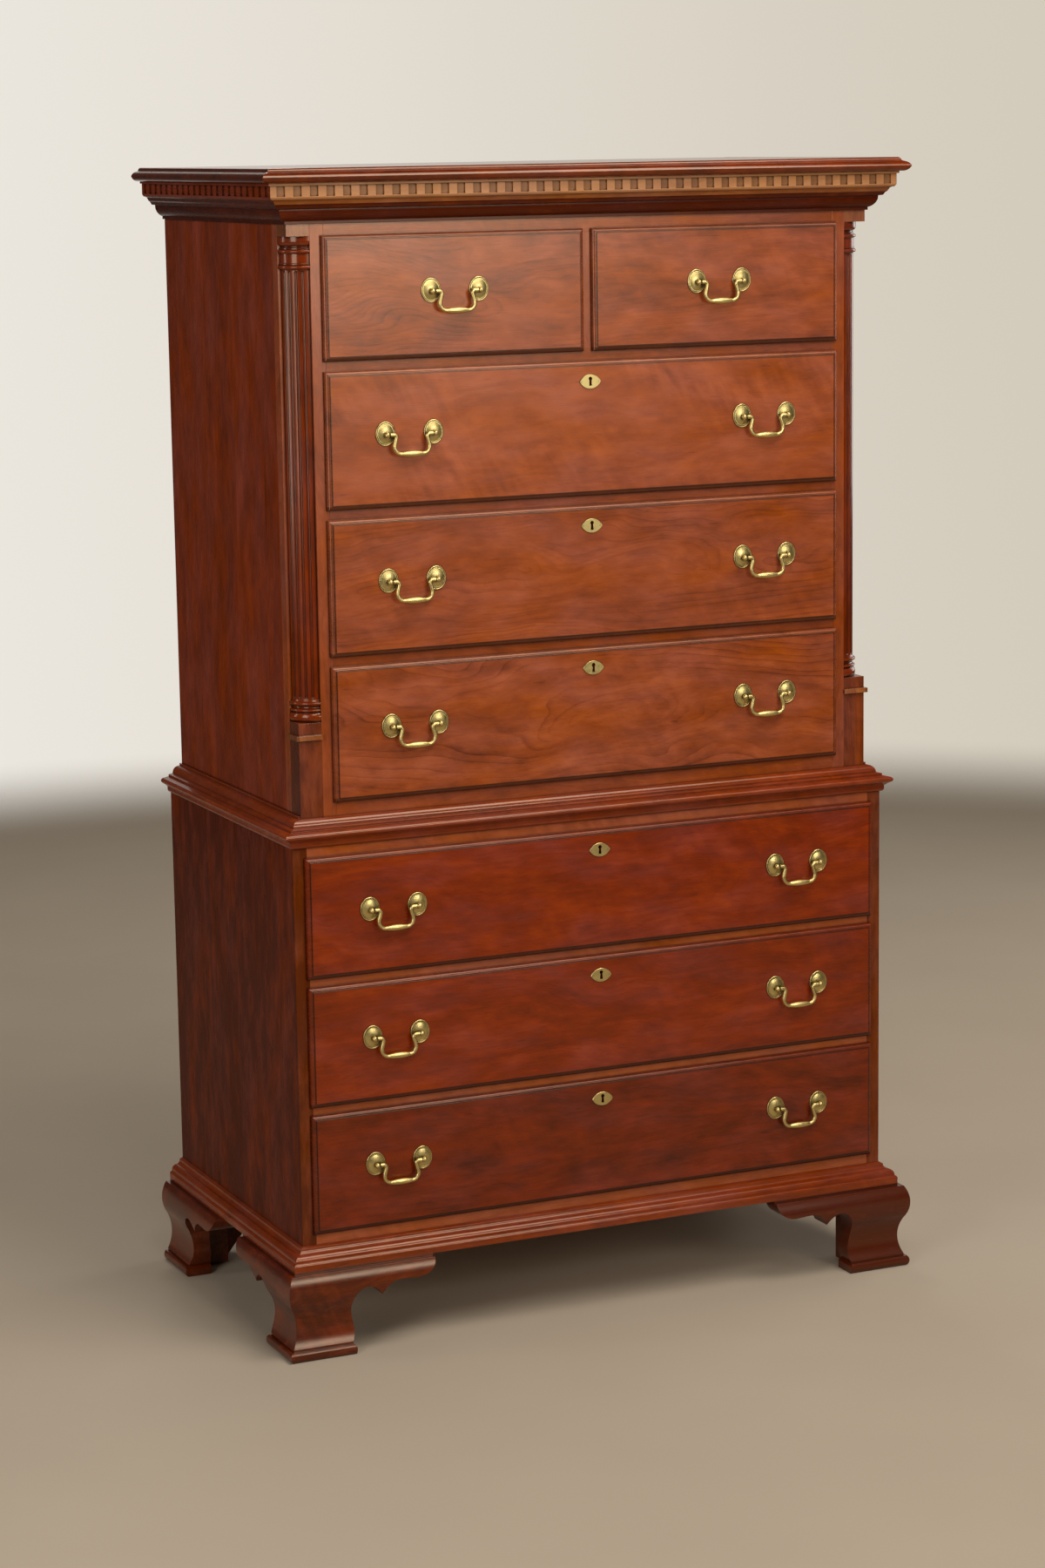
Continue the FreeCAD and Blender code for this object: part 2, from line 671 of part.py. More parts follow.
# ---- Brasses -----------------------------------------------------------------------------------
def back_plate():
    """Oval rosette: a dome inside a stepped and beaded rim. It lies on Y = 0 and rises towards -Y."""
    radius = plate_height / 2
    points = [vec(0, -up * plate_thickness, out * radius) for up, out in (
        (0, 0), (0, 1), (0.18, 1), (0.52, 0.94), (0.25, 0.87), (0.5, 0.85), (0.52, 0.78), (0.42, 0.76),
        (0.86, 0.45), (1, 0))]
    section = Part.Wire([
        Part.LineSegment(points[0], points[1]).toShape(),
        Part.LineSegment(points[1], points[2]).toShape(),
        Part.Arc(points[2], points[3], points[4]).toShape(),
        Part.LineSegment(points[4], points[5]).toShape(),
        Part.LineSegment(points[5], points[6]).toShape(),
        Part.LineSegment(points[6], points[7]).toShape(),
        Part.Arc(points[7], points[8], points[9]).toShape(),
        Part.LineSegment(points[9], points[0]).toShape(),
    ])
    round_plate = Part.Face(section).revolve(vec(0, 0, 0), vec(0, 1, 0), 360)
    squash = FreeCAD.Matrix()
    squash.scale(plate_width / plate_height, 1, 1)
    return round_plate.transformGeometry(squash)


def pull_post():
    """Ball-ended post, its shank through the drawer front, with the bail's hole on the -X side."""
    inside = lip_proud + front_body_thickness
    toward_front = vec(0, -1, 0)
    shank = Part.makeCylinder(shank_radius, inside + nut_thickness + 1, vec(0, inside + nut_thickness + 1, 0),
                              toward_front)
    neck = Part.makeCylinder(post_neck_radius, pull_standoff, vec(0, 0, 0), toward_front)
    ball = Part.makeSphere(post_ball_radius, vec(0, -pull_standoff, 0))
    hole = Part.makeCylinder(pin_radius + pin_clearance, post_ball_radius + pin_reach + pin_end_gap,
                             vec(-post_ball_radius, -pull_standoff, 0), vec(1, 0, 0))
    return shank.multiFuse([neck, ball]).removeSplitter().cut(hole)


def post_nut():
    inside = lip_proud + front_body_thickness
    hexagon = [(nut_radius * math.cos(math.radians(60 * k)), nut_radius * math.sin(math.radians(60 * k)))
               for k in range(6)]
    points = [vec(x, inside, z) for x, z in hexagon]
    nut = Part.Face(Part.makePolygon(points + points[:1])).extrude(vec(0, nut_thickness, 0))
    return nut.cut(Part.makeCylinder(shank_radius, nut_thickness, vec(0, inside, 0), vec(0, 1, 0)))


def bail():
    """Swan-necked bail with a swelled grip, hanging from the pins at its ends. Pin axis at Z = 0.

    It hangs a little away from the drawer front, by the tilt."""
    pin_end = post_spacing / 2 + pin_reach
    shoulder = post_spacing / 2 - post_ball_radius - bail_shoulder_gap
    lean = math.atan2(bail_heel - bail_neck, bail_drop)
    neck_tangent = bail_neck_bend * math.tan((math.pi / 2 - lean) / 2)
    heel_tangent = bail_heel_bend * math.tan((math.pi / 2 + lean) / 2)
    down = vec(math.sin(lean), 0, -math.cos(lean))
    neck = vec(bail_neck, 0, 0)
    heel = vec(bail_heel, 0, -bail_drop)

    def bend(corner, arriving, leaving, radius):
        tangent = radius * math.tan(arriving.getAngle(leaving) / 2)
        start = corner - arriving * tangent
        end = corner + leaving * tangent
        inward = leaving - arriving
        inward.normalize()
        centre = corner + inward * math.hypot(tangent, radius)
        return Part.Arc(start, centre - inward * radius, end).toShape()

    neck_bend = bend(neck, vec(-1, 0, 0), down, bail_neck_bend)
    heel_bend = bend(heel, down, vec(-1, 0, 0), bail_heel_bend)
    grip_end = bail_heel - heel_tangent
    shoulder_run = Part.LineSegment(vec(shoulder, 0, 0), neck_bend.Vertexes[0].Point).toShape()
    arm_run = Part.LineSegment(neck_bend.Vertexes[-1].Point, heel_bend.Vertexes[0].Point).toShape()
    path = Part.Wire([shoulder_run, neck_bend, arm_run, heel_bend])
    ring = Part.Wire([Part.Circle(vec(shoulder, 0, 0), vec(1, 0, 0), bail_radius).toShape()])
    arm = path.makePipeShell([ring], True, False)
    pin = Part.makeCylinder(pin_radius, pin_end - shoulder, vec(shoulder, 0, 0), vec(1, 0, 0))
    arm = arm.fuse(pin)
    level_z = -bail_drop
    grip_section = Part.Wire([
        Part.LineSegment(vec(-grip_end, 0, level_z), vec(-grip_end, 0, level_z + bail_radius)).toShape(),
        Part.Arc(vec(-grip_end, 0, level_z + bail_radius), vec(0, 0, level_z + grip_radius),
                 vec(grip_end, 0, level_z + bail_radius)).toShape(),
        Part.LineSegment(vec(grip_end, 0, level_z + bail_radius), vec(grip_end, 0, level_z)).toShape(),
        Part.LineSegment(vec(grip_end, 0, level_z), vec(-grip_end, 0, level_z)).toShape(),
    ])
    grip = Part.Face(grip_section).revolve(vec(0, 0, level_z), vec(1, 0, 0), 360)
    handle = grip.multiFuse(both_sides(arm))
    handle.rotate(vec(0, 0, 0), vec(-1, 0, 0), bail_tilt)
    return handle


def keyhole(depth):
    """Round hole over a flared slot, centred on the hole, cutting back from Y = 0."""
    hole = Part.makeCylinder(keyhole_radius, depth, vec(0, 0, 0), vec(0, 1, 0))
    slot = Part.Face(Part.makePolygon([
        vec(-keyhole_slot_top, 0, 0), vec(keyhole_slot_top, 0, 0),
        vec(keyhole_slot_foot, 0, -keyhole_slot_length), vec(-keyhole_slot_foot, 0, -keyhole_slot_length),
        vec(-keyhole_slot_top, 0, 0),
    ])).extrude(vec(0, depth, 0))
    return hole.fuse(slot).removeSplitter()


def escutcheon():
    """Pointed oval plate with its keyhole, and a round-headed pin at each end."""
    half = escutcheon_length / 2
    rise = escutcheon_height / 2
    ends = (vec(-half, 0, 0), vec(half, 0, 0))
    rim = Part.Wire([Part.Arc(ends[0], vec(0, 0, rise), ends[1]).toShape(),
                     Part.Arc(ends[1], vec(0, 0, -rise), ends[0]).toShape()])
    plate = Part.Face(rim).extrude(vec(0, -escutcheon_thickness, 0))
    face_edges = [edge for edge in plate.Edges if edge.BoundBox.YMax < -escutcheon_thickness + 0.01]
    plate = plate.makeChamfer(escutcheon_thickness / 3, face_edges)
    cutter = moved(keyhole(escutcheon_thickness + 2), 0, -escutcheon_thickness - 1, keyhole_rise)
    pins = []
    for side in (-1, 1):
        place = vec(side * (half - escutcheon_pin_inset), -escutcheon_thickness, 0)
        pins.append(Part.makeCylinder(escutcheon_pin_radius, escutcheon_pin_head, place, vec(0, -1, 0)))
    return [plate.cut(cutter)] + pins


# ---- Drawers -----------------------------------------------------------------------------------
def tails(x0, x1, shoulder, tip, z0, z1):
    """Dovetails across a drawer side, wider at the tip than at the shoulder."""
    count = max(1, int((z1 - z0) / tail_pitch))
    pitch = (z1 - z0) / count
    shapes = []
    for index in range(count):
        middle = z0 + (index + 0.5) * pitch
        root = tail_width / 2 - tail_flare / 2
        end = tail_width / 2 + tail_flare / 2
        points = [vec(x0, shoulder, middle - root), vec(x0, tip, middle - end), vec(x0, tip, middle + end),
                  vec(x0, shoulder, middle + root)]
        shapes.append(Part.Face(Part.makePolygon(points + points[:1])).extrude(vec(x1 - x0, 0, 0)))
    return shapes


def drawer_front(x0, x1, z0, z1, front):
    """Lipped front: a rounded lip round the opening, a raised flat field, and the body inside."""
    plate = box(x0 - lip_overlap, x1 + lip_overlap, front - lip_proud + field_step, front - lip_gap,
                z0 - lip_overlap, z1 + lip_overlap)
    rounded = [edge for edge in plate.Edges if edge.BoundBox.YMax < front - lip_proud + field_step + 0.01]
    plate = plate.makeFillet(lip_round, rounded)
    inset = field_margin - lip_overlap
    field = box(x0 + inset, x1 - inset, front - lip_proud, front - lip_gap, z0 + inset, z1 - inset)
    body = box(x0 + drawer_side_gap, x1 - drawer_side_gap, front - lip_gap, front + front_body_thickness,
               z0 + drawer_run_gap, z1 - drawer_top_gap)
    return plate.multiFuse([field, body]).removeSplitter()


def drawer_box(x0, x1, z0, z1, front, rear):
    """Two sides, the back and the bottom panel. Tails lock the sides into the front and the back."""
    left = x0 + drawer_side_gap
    right = x1 - drawer_side_gap
    low = z0 + drawer_run_gap
    high = z1 - drawer_top_gap
    shoulder = front + front_body_thickness
    panel_low = low + drawer_bottom_rise
    panel_high = panel_low + drawer_bottom_thickness
    groove = drawer_side_thickness - drawer_bottom_groove
    bottom = box(left + groove, right - groove, shoulder - drawer_bottom_groove, rear, panel_low, panel_high)
    back_top = high - drawer_back_drop
    back = box(left, right, rear - drawer_back_thickness, rear, panel_high, back_top)
    sides = []
    for outer, inner in ((left, left + drawer_side_thickness), (right - drawer_side_thickness, right)):
        back = back.cut(tails(outer, inner, rear - drawer_back_thickness, rear, panel_high, back_top))
        board = box(outer, inner, shoulder, rear, low, high)
        front_tails = tails(outer, inner, shoulder, shoulder - tail_depth, panel_high, high)
        sides.append(board.multiFuse(front_tails).removeSplitter())
    sides = [without(side, back, bottom) for side in sides]
    return sides, back, bottom


def drawer(name, x0, x1, z0, z1, front, case_depth, pull_places, has_escutcheon):
    rear = front + case_depth - back_thickness - drawer_rear_gap
    face = front - lip_proud
    sides, back, bottom = drawer_box(x0, x1, z0, z1, front, rear)
    front_board = without(drawer_front(x0, x1, z0, z1, front), bottom, *sides)
    plate, post, nut, handle = back_plate(), pull_post(), post_nut(), bail()
    shank_room = Part.makeCylinder(shank_radius + shank_clearance, lip_proud + front_body_thickness,
                                   vec(0, 0, 0), vec(0, 1, 0))
    middle_z = (z0 + z1) / 2 + pull_rise
    brasses = []
    holes = []
    for suffix, centre in pull_places:
        for side in (-1, 1):
            x = centre + side * post_spacing / 2
            handed_post = post if side > 0 else mirrored_in_x(post)
            seated_post = moved(handed_post, x, face, middle_z - post_drop)
            brasses += [moved(plate, x, face, middle_z).cut(seated_post), seated_post]
            brasses.append(moved(nut, x, face, middle_z - post_drop))
            holes.append(moved(shank_room, x, face, middle_z - post_drop))
        save(name + "_bail" + suffix, [moved(handle, centre, face - pull_standoff, middle_z - post_drop)])
    if has_escutcheon:
        x = (x0 + x1) / 2
        z = z1 + lip_overlap - escutcheon_drop
        brasses += [moved(piece, x, face, z) for piece in escutcheon()]
        holes.append(moved(keyhole(keyhole_depth), x, face, z + keyhole_rise))
    save(name + "_front", [front_board.cut(holes)])
    save(name + "_box", sides + [back, bottom])
    save(name + "_brasses", brasses)


def drawers():
    rows = ("bottom", "middle", "top")
    for row, floor in zip(rows, lower_opening_floors):
        spread = lower_inner - lower_pull_inset
        pulls = (("_left", -spread), ("_right", spread))
        drawer("lower_" + row + "_drawer", -lower_inner, lower_inner, floor, floor + lower_opening_height,
               lower_front, lower_depth, pulls, True)
    for row, floor in zip(rows, upper_opening_floors):
        spread = upper_opening - upper_pull_inset
        pulls = (("_left", -spread), ("_right", spread))
        drawer("upper_" + row + "_drawer", -upper_opening, upper_opening, floor, floor + upper_opening_height,
               upper_front, upper_depth, pulls, True)
    inner_edge = centre_upright_width / 2
    small_pull = (inner_edge + upper_opening) / 2 + small_pull_outset
    roof = small_opening_floor + small_opening_height
    drawer("small_left_drawer", -upper_opening, -inner_edge, small_opening_floor, roof, upper_front,
           upper_depth, (("", -small_pull),), False)
    drawer("small_right_drawer", inner_edge, upper_opening, small_opening_floor, roof, upper_front,
           upper_depth, (("", small_pull),), False)


os.makedirs("parts", exist_ok=True)
lower_case()
feet()
base_moulding()
waist_moulding()
upper_case()
quarter_columns()
bed_moulding()
dentil_moulding()
cornice_top()
drawers()
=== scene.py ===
import bpy
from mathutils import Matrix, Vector


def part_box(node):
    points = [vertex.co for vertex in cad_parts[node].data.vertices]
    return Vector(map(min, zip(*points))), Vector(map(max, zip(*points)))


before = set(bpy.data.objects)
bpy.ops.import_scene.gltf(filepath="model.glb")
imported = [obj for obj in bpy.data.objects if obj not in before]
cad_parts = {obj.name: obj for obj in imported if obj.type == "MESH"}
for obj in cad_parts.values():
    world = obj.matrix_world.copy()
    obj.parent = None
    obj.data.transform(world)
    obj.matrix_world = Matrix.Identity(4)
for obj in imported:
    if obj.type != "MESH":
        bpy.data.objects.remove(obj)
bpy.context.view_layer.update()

# ---- Case sides --------------------------------------------------------------------------------
# Each side of both cases is glued up from upright cherry boards and planed flush, so the figure
# changes from board to board. The wood is stained reddish brown, every corner and quirk is painted
# darker as wiped-in glaze and painted shade together, and the lacquer is rubbed down to a satin shine.


def put(tree, kind, *inputs, **settings):
    """Adds a shader node, sets it up and feeds its first sockets; None leaves a socket alone."""
    made = tree.nodes.new("ShaderNode" + kind)
    for name, value in settings.items():
        setattr(made, name, value)
    for socket, value in zip(made.inputs, inputs):
        if isinstance(value, bpy.types.NodeSocket):
            tree.links.new(value, socket)
        elif value is not None:
            socket.default_value = value
    return made.outputs[0]


def sums(tree, how, *inputs):
    """One step of arithmetic on numbers and sockets."""
    return put(tree, "Math", *inputs, operation=how)


def combine(tree, first, second, third):
    return put(tree, "CombineXYZ", first, second, third)


def split(tree, vector):
    return list(put(tree, "SeparateXYZ", vector).node.outputs)


def stretched(tree, place, scales):
    """A point with each of its three parts multiplied by its own scale."""
    return put(tree, "VectorMath", combine(tree, *place), scales, operation="MULTIPLY")


def mottle(tree, point, scale=1.0, detail=3.0, roughness=0.5, warp=0.0):
    """Soft noise between 0 and 1."""
    return put(tree, "TexNoise", point, None, scale, detail, roughness, 2.0, None, warp)


def swing(tree, value, strength, base):
    """Adds a noise's swing about its middle, times a strength, to a base."""
    return sums(tree, "MULTIPLY_ADD", sums(tree, "SUBTRACT", value, 0.5), strength, base)


def ease(tree, value, low, high, to_low=0.0, to_high=1.0):
    """Smooth step from one range to another."""
    return put(tree, "MapRange", value, low, high, to_low, to_high, interpolation_type="SMOOTHSTEP")


def blend(tree, factor, first, second, kind="FLOAT"):
    """Mixes two numbers or two colours, each given as a socket or as a value."""
    made = tree.nodes.new("ShaderNodeMix")
    made.data_type = kind
    first_place, second_place, result_place = {"FLOAT": (2, 3, 0), "RGBA": (6, 7, 2)}[kind]
    for place, value in ((0, factor), (first_place, first), (second_place, second)):
        if isinstance(value, bpy.types.NodeSocket):
            tree.links.new(value, made.inputs[place])
        else:
            made.inputs[place].default_value = value
    return made.outputs[result_place]


def tint(tree, factor, first, second):
    return blend(tree, factor, first, second, "RGBA")


def new_finish(name):
    """A new material with its node tree, its shader and the point on the object's own axes."""
    material = bpy.data.materials.new(name)
    material.use_nodes = True
    tree = material.node_tree
    return material, tree, tree.nodes["Principled BSDF"], put(tree, "TexCoord").node.outputs["Object"]


def openness(tree, reach, samples):
    """1 in the open, and less the deeper a corner is within a reach in metres."""
    return put(tree, "AmbientOcclusion", None, reach, samples=samples).node.outputs["AO"]


def dress(node, material):
    """Gives a node of the frame its finish."""
    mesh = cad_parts[node].data
    mesh.materials.clear()
    mesh.materials.append(material)


# Each kind of mark in the wood: how many to the metre along the grain, across it and into the
# wood, and how fine and how twisted the noise that draws it is.
marks = {
    "drift": ((3.0, 6.0, 6.0), dict(detail=2.0)),
    "ripple": ((14.0, 40.0, 40.0), dict(detail=2.0)),
    "vigour": ((5.0, 16.0, 16.0), dict(detail=2.0)),
    "fibre": ((14.0, 420.0, 420.0), dict(detail=4.0, roughness=0.6)),
    "streak": ((4.0, 60.0, 60.0), dict(detail=3.0, roughness=0.6)),
    "grain": ((30.0, 105.0, 105.0), dict(detail=3.0, roughness=0.65, warp=0.3)),
    "fleck": ((34.0, 300.0, 300.0), dict(detail=1.0)),
    "blotch": ((15.0, 34.0, 34.0), dict(detail=4.0, roughness=0.58, warp=0.6)),
    "bars": ((62.0, 17.0, 17.0), dict(detail=2.0, warp=0.5)),
    "patch": ((5.0, 9.0, 9.0), dict(detail=1.0)),
}
drift_reach, ripple_reach = 0.14, 0.006
ring_unevenness, ring_unevenness_scale, band_scale = 2.4, 55.0, 24.0
late_wood_power, late_wood_end = 5.0, 0.94
bar_slant = 0.5
streak_strength, fibre_strength, band_strength, grain_strength, fleck_strength = 0.24, 0.22, 0.12, 0.34, -0.16


def board_figure():
    """The figure of one sawn board, in metres: X runs along the grain, Y across it, Z into the wood.

    Growth rings are cones round a heart that lies behind the face, so a flat-sawn board shows
    arches and a quarter-sawn one shows stripes. Curl is the rippled shimmer across the grain."""
    group = bpy.data.node_groups.new("board_figure", "ShaderNodeTree")
    group.interface.new_socket("Point", in_out="INPUT", socket_type="NodeSocketVector")
    for name in ("Heart", "Lean", "Rings", "Lines", "Curl", "Blotch", "Seed"):
        group.interface.new_socket(name, in_out="INPUT", socket_type="NodeSocketFloat")
    for name in ("Tone", "Fibre"):
        group.interface.new_socket(name, in_out="OUTPUT", socket_type="NodeSocketFloat")
    given = {socket.name: socket for socket in group.nodes.new("NodeGroupInput").outputs}
    flat_along, flat_across, flat_depth = split(group, given["Point"])
    seeds = combine(group, given["Seed"], given["Seed"], given["Seed"])
    here = split(group, put(group, "VectorMath", given["Point"], seeds, operation="ADD"))

    def mark(kind, place=here):
        scales, looks = marks[kind]
        return mottle(group, stretched(group, place, scales), **looks)

    # Rings: the distance from the heart, wandering as the trunk did, cut into years.
    wander = swing(group, mark("ripple"), ripple_reach, swing(group, mark("drift"), drift_reach, 0.0))
    sideways = sums(group, "ADD", flat_across, wander)
    behind = sums(group, "ADD", sums(group, "ADD", given["Heart"], flat_depth),
                  sums(group, "MULTIPLY_ADD", flat_along, given["Lean"], wander))
    radius = sums(group, "SQRT", sums(group, "ADD", sums(group, "MULTIPLY", sideways, sideways),
                                      sums(group, "MULTIPLY", behind, behind)))
    uneven = mottle(group, combine(group, 0.0, 0.0, radius), ring_unevenness_scale, 1.0)
    year = sums(group, "FRACT", sums(group, "MULTIPLY_ADD", radius, given["Rings"],
                                     sums(group, "MULTIPLY", uneven, ring_unevenness)))
    late = sums(group, "MULTIPLY", sums(group, "POWER", year, late_wood_power),
                ease(group, year, 1.0, late_wood_end))
    rings = sums(group, "MULTIPLY", late, ease(group, mark("vigour"), 0.36, 0.66, 0.1, 1.0))
    band = ease(group, mottle(group, combine(group, given["Seed"], 0.0, radius), band_scale, 2.0), 0.35, 0.65)

    # Marks that lie on top of the rings, from fine to coarse.
    fibre = mark("fibre")
    streak = mark("streak", (flat_along, sideways, here[2]))
    grain = mark("grain", (here[0], sideways, here[2]))
    fleck = ease(group, mark("fleck"), 0.70, 0.80)
    slant = sums(group, "MULTIPLY_ADD", here[1], bar_slant, here[0])
    bars = mark("bars", (slant, here[1], here[2]))
    patch = ease(group, mark("patch"), 0.38, 0.62)

    tone = 0.5
    for layer, strength in ((streak, streak_strength), (fibre, fibre_strength), (band, band_strength),
                            (grain, grain_strength)):
        tone = swing(group, layer, strength, tone)
    tone = sums(group, "MULTIPLY_ADD", fleck, fleck_strength, tone)
    tone = swing(group, mark("blotch"), given["Blotch"], tone)
    tone = sums(group, "SUBTRACT", tone, sums(group, "MULTIPLY", rings, given["Lines"]))
    tone = swing(group, bars, sums(group, "MULTIPLY", patch, given["Curl"]), tone)
    leaving = group.nodes.new("NodeGroupOutput")
    group.links.new(tone, leaving.inputs["Tone"])
    group.links.new(fibre, leaving.inputs["Fibre"])
    return group


figure = board_figure()


def saw(tree, along, across, depth, **cut):
    """Saws a board out of the tree at the given cut; returns the tone and the fibre of its face."""
    wood = tree.nodes.new("ShaderNodeGroup")
    wood.node_tree = figure
    tree.links.new(combine(tree, along, across, depth), wood.inputs["Point"])
    for name, value in cut.items():
        wood.inputs[name.capitalize()].default_value = value
    return wood.outputs["Tone"], wood.outputs["Fibre"]


def stained(tree, tone, shades):
    """A wood's three shades, from its dark marks to its light ones, laid out by tone."""
    made = tree.nodes.new("ShaderNodeValToRGB")
    tree.links.new(tone, made.inputs[0])
    made.color_ramp.elements.new(0.5)
    for element, place, colour in zip(made.color_ramp.elements, (0.10, 0.50, 0.90), shades):
        element.position = place
        element.color = colour
    return made.outputs[0]


def along_axes(letters, middle=(0.0, 0.0, 0.0)):
    """Grain by axis letters: along, across and into the wood, measured from a middle point."""
    def axes(tree, x, y, z):
        named = dict(zip("XYZ", (x, y, z)))
        return tuple(sums(tree, "SUBTRACT", named[letter], middle["XYZ".index(letter)])
                     for letter in letters)
    return axes


# The lower stain is darker than the upper one, partly as painted shade for the lesser light low down.
stains = {
    "side": ((0.068, 0.0105, 0.0036, 1), (0.190, 0.0290, 0.0080, 1), (0.330, 0.0560, 0.0150, 1)),
    "upper": ((0.095, 0.0165, 0.0050, 1), (0.245, 0.0485, 0.0130, 1), (0.400, 0.0920, 0.0260, 1)),
    "lower": ((0.060, 0.0052, 0.0010, 1), (0.176, 0.0170, 0.0020, 1), (0.320, 0.0390, 0.0050, 1)),
    "moulding": ((0.066, 0.0072, 0.0010, 1), (0.190, 0.0240, 0.0025, 1), (0.330, 0.0540, 0.0075, 1)),
    "honey": ((0.230, 0.0650, 0.0150, 1), (0.450, 0.1620, 0.0450, 1), (0.600, 0.2600, 0.0850, 1)),
    "tan": ((0.300, 0.1200, 0.0420, 1), (0.465, 0.2080, 0.0860, 1), (0.590, 0.2950, 0.1350, 1)),
}
# Dark colour laid into corners by how enclosed they are: wiped-in glaze and painted shade.
glaze_and_shade_colour = (0.016, 0.0045, 0.0030, 1)
glaze_and_shade_reach, glaze_and_shade_strength = 0.004, 0.8
lacquer_tint = (1.0, 0.80, 0.58, 1)
fibre_relief, fibre_height = 0.02, 0.0003
flush_scales, hue_flush, saturation_flush = (7.0, 20.0, 20.0), 0.012, 0.26
glue_line_sway, glue_line_scale = 0.014, 1.6
spread_across, spread_along, spread_deep = 1.4, 7.0, 0.05
board_contrast = 0.10


def cherry(name, axes, stain, board=None, seed=0.0, heart=0.045, lean=0.10, rings=170.0, lines=0.12,
           curl=0.25, blotch=0.52, lift=0.0, second=None, shade_mask=None, glaze_and_shade_range=(0.90, 0.45), shine=0.26,
           gloss=1.50, worn=0.0008):
    """Stained and lacquered cherry.

    A board width splits the surface into glued-up boards, each with its own place in the tree.
    Heart to blotch set the figure, and lift makes the stain lighter. Second gives a mask and
    another stain for part of the surface; the shade mask gives where extra painted shade lies;
    the glaze range says how deep a corner starts and fills with dark colour, glaze and painted
    shade together. Shine is the lacquer's roughness, gloss its strength, and worn the radius
    of a rubbed edge."""
    material, tree, shader, point = new_finish(name)
    place = split(tree, point)
    along, across, depth = axes(tree, *place)
    if board:
        sway = mottle(tree, combine(tree, along, seed, 0.0), glue_line_scale, 1.0)
        shifted = swing(tree, sway, glue_line_sway, across)
        count = sums(tree, "FLOOR", sums(tree, "DIVIDE", shifted, board))
        dice = tree.nodes.new("ShaderNodeTexWhiteNoise")
        dice.noise_dimensions = "1D"
        tree.links.new(sums(tree, "ADD", count, seed), dice.inputs["W"])
        chance = split(tree, dice.outputs["Color"])
        centre = sums(tree, "MULTIPLY", sums(tree, "ADD", count, 0.5), board)
        across = swing(tree, chance[0], board * spread_across, sums(tree, "SUBTRACT", shifted, centre))
        along = sums(tree, "MULTIPLY_ADD", chance[1], spread_along, along)
        depth = sums(tree, "MULTIPLY_ADD", chance[2], spread_deep, depth)
        lift = swing(tree, chance[1], board_contrast, lift)
    tone, fibre = saw(tree, along, across, depth, heart=heart, lean=lean, rings=rings, lines=lines,
                      curl=curl, blotch=blotch, seed=seed)
    tone = sums(tree, "ADD", tone, lift)
    colour = stained(tree, tone, stains[stain])
    if second:
        mask, other = second
        colour = tint(tree, mask(tree, *place), colour, stained(tree, tone, stains[other]))
    flush = mottle(tree, stretched(tree, (along, across, depth), flush_scales))
    colour = put(tree, "HueSaturation", swing(tree, flush, hue_flush, 0.5),
                 swing(tree, flush, saturation_flush, 1.0), None, None, colour)
    # Glaze and painted shade: darker the deeper a corner is, and wherever a shade mask asks.
    glaze_and_shade = ease(tree, openness(tree, glaze_and_shade_reach, 6), *glaze_and_shade_range, 0.0, glaze_and_shade_strength)
    if shade_mask:
        glaze_and_shade = sums(tree, "MAXIMUM", glaze_and_shade, shade_mask(tree, *place))
    tree.links.new(tint(tree, glaze_and_shade, colour, glaze_and_shade_colour), shader.inputs["Base Color"])
    tree.links.new(ease(tree, fibre, 0.2, 0.8, shine + 0.03, shine - 0.02), shader.inputs["Roughness"])
    shader.inputs["IOR"].default_value = gloss
    shader.inputs["Specular Tint"].default_value = lacquer_tint
    arris = put(tree, "Bevel", worn, samples=8)
    relief = put(tree, "Bump", fibre_relief, fibre_height, None, fibre, arris)
    tree.links.new(relief, shader.inputs["Normal"])
    return material


side_low, side_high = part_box("lower_side_left")
side_board = 0.122
front_edge_skin = 0.0008


def front_edge_painted_light(tree, x, y, z):
    """The edges of the side boards that show in front are painted lighter, a painted highlight for the light
    they catch.
    """
    return sums(tree, "MULTIPLY", sums(tree, "LESS_THAN", y, side_low.y + front_edge_skin), 0.18)


# The lower sides are stained darker than the upper ones; this is painted shade for the lesser light low down.
side_looks = {"lower": dict(lift=-0.32, gloss=1.1), "upper": dict(lift=-0.04, gloss=1.2)}
for seed, node in enumerate(("lower_side_left", "lower_side_right", "upper_side_left", "upper_side_right")):
    dress(node, cherry(node + "_wood", along_axes("ZYX"), "side", board=side_board, seed=3.1 + seed,
                       lean=0.03, lines=0.08, curl=0.10, blotch=0.60, second=(front_edge_painted_light, "honey"),
                       **side_looks[node[:5]]))

# ---- Lower case rails --------------------------------------------------------------------------
# Four cherry rails cross the front between the sides. Each is one narrow board, grain level,
# tenoned into the sides and flush with their front edges.
dress("lower_rails", cherry("lower_rail_wood", along_axes("XZY"), "upper", seed=11.0, heart=0.02,
                            lean=0.05, lines=0.1, curl=0.5, lift=0.14))

# ---- Backs, inner boards and drawer runners ----------------------------------------------------
# What isn't seen is poplar, planed but neither stained nor lacquered. The backs are level boards
# nailed in rabbets; inside are the bottom and top boards, the runners and the dust panels.
poplar_shades = ((0.33, 0.20, 0.10, 1), (0.50, 0.335, 0.18, 1), (0.60, 0.43, 0.25, 1))
corner_dark_colour = (0.10, 0.06, 0.035, 1)
corner_dark_reach, corner_dark_strength = 0.012, 0.7
bare_relief, bare_height = 0.25, 0.0005
back_board_shift = 3.7


